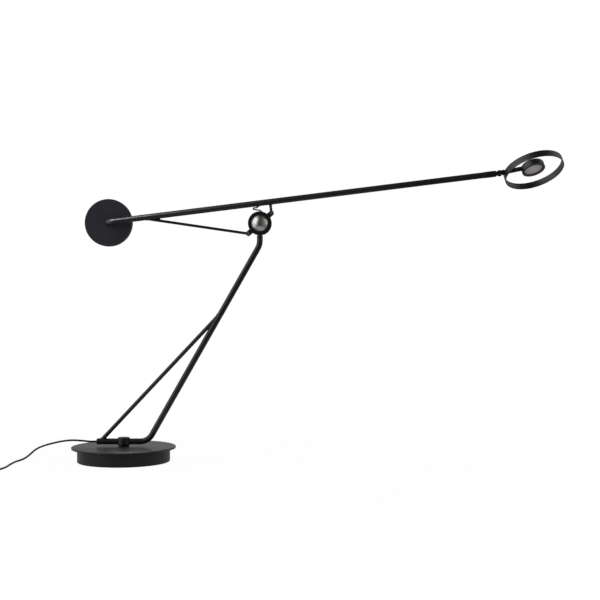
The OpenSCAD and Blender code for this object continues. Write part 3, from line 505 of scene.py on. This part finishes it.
# %% Weld beads
def weld_bead(name, start, direction, bar_radius, tube_point, tube_direction, bead=0.0011,
              body="stand"):
    """Tube of radius bead along the line where a bar meets a tube. For angle t round the bar the
    ray start + r (cos t a + sin t b) + s d solves |q + s e|^2 = R^2, where q and e are the parts
    of the ray's start and direction that are square to the tube."""
    d, tube = unit(direction), unit(tube_direction)
    a = unit(np.cross(d, tube))
    b = np.cross(d, a)
    t = np.linspace(0, 2 * np.pi, 72, endpoint=False)[:, None]
    ray = start + (bar_radius + bead * 0.25) * (np.cos(t) * a + np.sin(t) * b)
    q = ray - tube_point
    q = q - (q @ tube)[:, None] * tube
    e = d - (d @ tube) * tube
    half, least = q @ e / (e @ e), ((q * q).sum(axis=1) - tube_radius**2) / (e @ e)
    s = -half - np.sqrt(np.maximum(half**2 - least, 0))
    ripple = bead * (1 + 0.12 * np.sin(18 * t[:, 0]))
    made = pipe(name, ray + s[:, None] * d, ripple, d, sides=12, closed=True)
    made.data.materials.append(arm_black)
    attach(made, body)
    return made


foot_height, leg_foot_x, brace_foot_x = 0.0407, 0.0487, -0.047
lean, brace_rise, brace_radius = np.radians(29.6), 0.2576, 0.004
up_leg = np.array([np.sin(lean), 0.0, np.cos(lean)])
leg_point = np.array([leg_foot_x, 0.0, foot_height])
brace_top = leg_point + up_leg * brace_rise / np.cos(lean)
brace_foot = np.array([brace_foot_x, 0.0, foot_height])
along_brace = unit(brace_top - brace_foot)
ray_run = 0.05
weld_bead("weld_brace_foot", brace_foot + ray_run * along_brace, -along_brace, brace_radius,
          brace_foot, (1, 0, 0))
weld_bead("weld_brace_top", brace_top - ray_run * along_brace, along_brace, brace_radius,
          leg_point, up_leg)
lug_along, lug_off = 0.02558, 0.01751
short_strut_radius, long_strut_radius, strut_bead = 0.0028, 0.00275, 0.0009
strut_slope = np.radians(180 - 15.4)
along_strut = along_arm * np.cos(strut_slope) + off_arm * np.sin(strut_slope)
arm_point = on_arm(0, 0, arm_axis_rise)
weld_bead("weld_short_strut", on_arm(lug_along, 0, lug_off), off_arm, short_strut_radius,
          arm_point, along_arm, bead=strut_bead, body="arm")
weld_bead("weld_long_strut", on_arm(-lug_along, 0, -lug_off), along_strut, long_strut_radius,
          arm_point, along_arm, bead=strut_bead, body="arm")
print("beads: 4, brace length", round(float(np.linalg.norm(brace_top - brace_foot)), 4))

# %% [markdown]
# The ball is the one mirror on the lamp, so any facet would show. It is turned again from an exact
# profile: the flat over its neck, the sphere, and the small dish on top where the lead comes out.
# Inside are the bore for the pivot, from below, and the narrow hole for the lead.

# %% The polished ball
ball_radius, flat_drop = 0.0189, 0.0173
flat_radius = np.sqrt(ball_radius**2 - flat_drop**2)
dish_radius, dish_floor = 0.0035, 0.0104
bore_radius, bore_top, lead_hole_radius = 0.00308, -0.0071, 0.0016
dish_angle = np.degrees(np.arccos(dish_radius / ball_radius))
flat_angle = -np.degrees(np.arcsin(flat_drop / ball_radius))
ball_profile = np.concatenate([
    [(bore_radius, bore_top), (bore_radius, -flat_drop), (flat_radius, -flat_drop)],
    arc(0, 0, ball_radius, flat_angle, dish_angle, 64),
    [(dish_radius, dish_floor), (lead_hole_radius, dish_floor), (lead_hole_radius, bore_top),
     (bore_radius, bore_top)]])
ball_turned = turned("ball_turned", ball_profile, ball_centre, (0, 0, 1), (1, 0, 0), 128)
ball_turned.data.materials.append(ball_steel)
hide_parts("ball")
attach(ball_turned, "ball")
print("ball, radius", ball_radius * 1000, "mm, faces", len(ball_turned.data.polygons))

# %% [markdown]
# A short lead hops from the ball up into the arm. It has to bend when the arm tilts, so it lies in
# a loose zigzag.

# %% The jumper lead
jumper_radius, jumper_spacing = 0.0013, 0.0004
jumper_points = ball_centre + np.array([
    (0, 0, -6.8), (0, 0, -1), (0, 0, 4), (0.1, 0, 9), (0.4, 0, 13), (1.2, 0, 16.5),
    (2.2, 0, 19.5), (2.9, 0, 22), (2.7, 0, 24), (1.6, 0, 25.4), (-0.2, 0, 26.1),
    (-2.4, 0, 26.5), (-5, 0, 26.9), (-7.6, 0, 27.3), (-10.2, 0, 27.6), (-11.9, 0, 27.9),
    (-13, 0, 28.7), (-13.3, 0, 29.6), (-12.9, 0, 30.4), (-11.8, 0, 31), (-10.2, 0, 31.2),
    (-8.2, 0, 31.2), (-6.5, 0, 31.4), (-5, 0, 32), (-4.1, 0, 33.1), (-4, 0, 34.6),
    (-4.2, 0, 36.4), (-4.4, 0, 38.3)]) / 1000
jumper = pipe("jumper", spline_through(jumper_points, jumper_spacing), jumper_radius, (0, -1, 0),
              sides=16)
jumper.data.materials.append(sheath)
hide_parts("jumper_lead")
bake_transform(jumper)
print("jumper lead points:", len(jumper.data.vertices))

# %% [markdown]
# The plug is moulded in one with a tapered sleeve that keeps the cord from kinking. Its section is
# a rounded rectangle whose width changes along its length. The sleeve has a row of grooves.

# %% The plug
def rounded_section(half_width, half_height, power, steps=48):
    """Superellipse: (w sgn(cos t) |cos t|^(2/p), h sgn(sin t) |sin t|^(2/p))."""
    t = np.linspace(0, 2 * np.pi, steps, endpoint=False)
    c, s = np.cos(t), np.sin(t)
    return (np.multiply.outer(half_width, np.sign(c)) * np.abs(c)**(2 / power[:, None]),
            np.multiply.outer(half_height, np.sign(s)) * np.abs(s)**(2 / power[:, None]))


at = np.array([-24, -23.6, -20.5, -20, -18.5, -18, -16.5, -16, -14.5, -14, -12.5, -12, -10.5, -10,
               -8.5, -8, -6, -4, -2, 0, 1, 3, 6, 10, 14, 17, 22, 30, 35, 36.4, 37, 37]) / 1000
groove = np.zeros(len(at))
groove[[3, 4, 7, 8, 11, 12]] = -0.5
wide = np.interp(at * 1000, [-24, -23.6, -6, 0, 3, 6, 10, 14, 17, 22, 30, 35, 36.4, 37],
                 [2.1, 2.3, 4.0, 5.0, 6.8, 9.0, 12.4, 15.0, 16.6, 17.0, 17.0, 16.8, 16.2, 15.2])
tall = np.interp(at * 1000, [-24, -23.6, -6, 0, 6, 14, 17, 35, 36.4, 37],
                 [2.1, 2.3, 4.0, 4.5, 5.6, 6.6, 6.8, 6.8, 6.4, 5.6])
wide, tall = (wide + groove) / 1000, (tall + groove) / 1000
wide[-1] = tall[-1] = 0.0
width, height = rounded_section(wide, tall, np.interp(at, [-0.002, 0.012], [2.0, 4.5]))
plug_points = np.stack([plug_place[0] + width,
                        np.broadcast_to((plug_place[1] + at)[:, None], width.shape),
                        plug_middle + height], axis=-1)
plug = surface("plug_moulded", plug_points, close_columns=True)
plug.data.materials.append(plug_plastic)
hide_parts("plug_body")
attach(plug, "stand")

# %% [markdown]
# A strap of soft rubber holds the coil. It goes once round the bundle of turns as a rounded
# rectangle, and its own section is a flat band with bevelled edges.

# %% The coil's strap
strap_turn = np.radians(60)
strap_out = np.array([np.cos(strap_turn), np.sin(strap_turn), 0.0])
strap_side = np.array([-np.sin(strap_turn), np.cos(strap_turn), 0.0])
strap_middle = (np.array([*coil_centre, 0.0]) + strap_out * coil_radius
                + (0, 0, coil_layers * cord_radius))
strap_half_width, strap_thickness, strap_corner = 0.0035, 0.001, 0.4
round_bundle = coil_columns * cord_radius + 0.0008, coil_layers * cord_radius + 0.0006
angle = np.linspace(0, 2 * np.pi, 96, endpoint=False)
ring_out = np.sign(np.cos(angle)) * np.abs(np.cos(angle))**strap_corner
ring_up = np.sign(np.sin(angle)) * np.abs(np.sin(angle))**strap_corner
section = np.array([(-1, -0.3), (-0.92, 0.45), (0.92, 0.45), (1, -0.3), (0.9, -0.5), (-0.9, -0.5)])
grow = section[:, 1] * strap_thickness
strap_points = (strap_middle
                + (round_bundle[0] + grow)[None, :, None] * ring_out[:, None, None] * strap_out
                + ((round_bundle[1] + grow)[None, :, None]
                   * ring_up[:, None, None] * np.array([0, 0, 1.0]))
                + (section[:, 0] * strap_half_width)[None, :, None] * strap_side)
strap_points[..., 2] = np.maximum(strap_points[..., 2], 0.0001)
strap = surface("coil_strap", strap_points, close_rows=True, close_columns=True)
strap.data.materials.append(pad_rubber)
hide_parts("cord_tie")
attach(strap, "stand")
print("strap and plug made")

# %% [markdown]
# The table is a pale floor without an edge. For the camera it is almost plain white and keeps a
# soft shadow, and in reflections it is darker. The room gives an even light. Only reflections see
# its window on the left and its dimmer far and right walls, and only the camera sees it white.
# Large soft lamps add the broad highlights. A studio shades a lamp with flaps so that it falls on
# one part only. Light linking does that here: one lamp lifts the base's lid, one draws the light
# line on the arm, and one behind the arm picks out the rim of its elbow.

# %% Floor, room and lamps
floor_x, floor_radius, floor_corners = 0.15, 0.6, 128
seen_white, floor_loss, floor_glow = 1.02, 0.62, 0.95
rim = np.linspace(0, 2 * np.pi, floor_corners, endpoint=False)
floor_points = np.column_stack([floor_x + floor_radius * np.cos(rim), floor_radius * np.sin(rim),
                                np.zeros(floor_corners)])
floor = object_from("floor", floor_points, [range(floor_corners)])
paper = Finish("floor_paper")
light_path = paper.tree.nodes.new("ShaderNodeLightPath")
direct = (Wire(paper, light_path.outputs["Is Camera Ray"])
          + Wire(paper, light_path.outputs["Is Transmission Ray"]))
mirrored = Wire(paper, light_path.outputs["Is Glossy Ray"])
matt = paper.node("ShaderNodeBsdfDiffuse", None, {"Color": (0.82, 0.82, 0.82)})
white = paper.node("ShaderNodeEmission", None,
                   {"Color": (1, 1, 1), "Strength": seen_white - floor_loss * mirrored})
paper.node("ShaderNodeOutputMaterial", None,
           {"Surface": paper.node("ShaderNodeMixShader", None,
                                  {0: (floor_glow * (direct + mirrored)).least(floor_glow),
                                   1: matt, 2: white})})
floor.data.materials.append(paper.owner)

room = Finish("room", bpy.data.worlds.new("room"))
bpy.context.scene.world = room.owner
room_path = room.tree.nodes.new("ShaderNodeLightPath")
to_camera = Wire(room, room_path.outputs["Is Camera Ray"])
in_mirror = Wire(room, room_path.outputs["Is Glossy Ray"])
look = room.node("ShaderNodeTexCoord")
parts = room.tree.nodes.new("ShaderNodeSeparateXYZ")
room.tree.links.new(look.socket, parts.inputs[0])
east, north, up = (Wire(room, parts.outputs[k]) for k in "XYZ")
room_level, dark_corner, window_light, far_light, side_light = 0.42, 0.05, 0.9, 0.27, 0.18
window = (0.25 * up - east).ramp(0.3, 0.8, 0.0, window_light) * (0.0 - north).ramp(-1.1, 0.0)
far_wall = north.ramp(0.1, 0.8, 0.0, far_light) * east.ramp(0.2, 0.8, 1.0, 0.5)
side_wall = east.ramp(0.1, 0.95, 0.0, side_light)
wall = (dark_corner + window + far_wall + side_wall).least(1.0)
level = room_level + (wall - room_level) * in_mirror
level = level + (seen_white - level) * to_camera
sky = room.node("ShaderNodeBackground", None, {"Color": (1, 1, 1), "Strength": level})
room.node("ShaderNodeOutputWorld", None, {"Surface": sky})


def soft_lamp(name, place, target, size, power, only=()):
    """Square area lamp at place that points at target. With only, it lights just those parts."""
    data = bpy.data.lights.new(name, "AREA")
    data.shape, data.size, data.energy = "SQUARE", size, power
    made = bpy.data.objects.new(name, data)
    made.location = place
    aim = np.array(target, float) - np.array(place, float)
    made.rotation_euler = (np.arccos(-aim[2] / np.linalg.norm(aim)), 0,
                           np.arctan2(aim[1], aim[0]) - np.pi / 2)
    bpy.context.collection.objects.link(made)
    if only:
        lit = bpy.data.collections.new(name + "_lights")
        for part in only:
            lit.objects.link(nodes[part])
        made.light_linking.receiver_collection = lit


soft_lamp("lamp_left", (-2.2, -0.9, 1.9), (0.5, 0, 0.4), 3.6, 26)
soft_lamp("lamp_right", (3.0, 0.2, 1.2), (0.4, 0, 0.3), 2.6, 9)
soft_lamp("lamp_base", (0.1, 1.3, 2.6), (0.3, 0, 0.3), 1.6, 65, ["top_plate"])
soft_lamp("lamp_arm", (-0.36, -0.44, 1.05), (0, 0, 0.45), 0.38, 10, ["arm_tube"])
soft_lamp("lamp_elbow", (-0.9, 1.5, 0.9), (-0.03, 0, 0.43), 0.8, 22, ["arm_tube"])
print("lamps: 5")
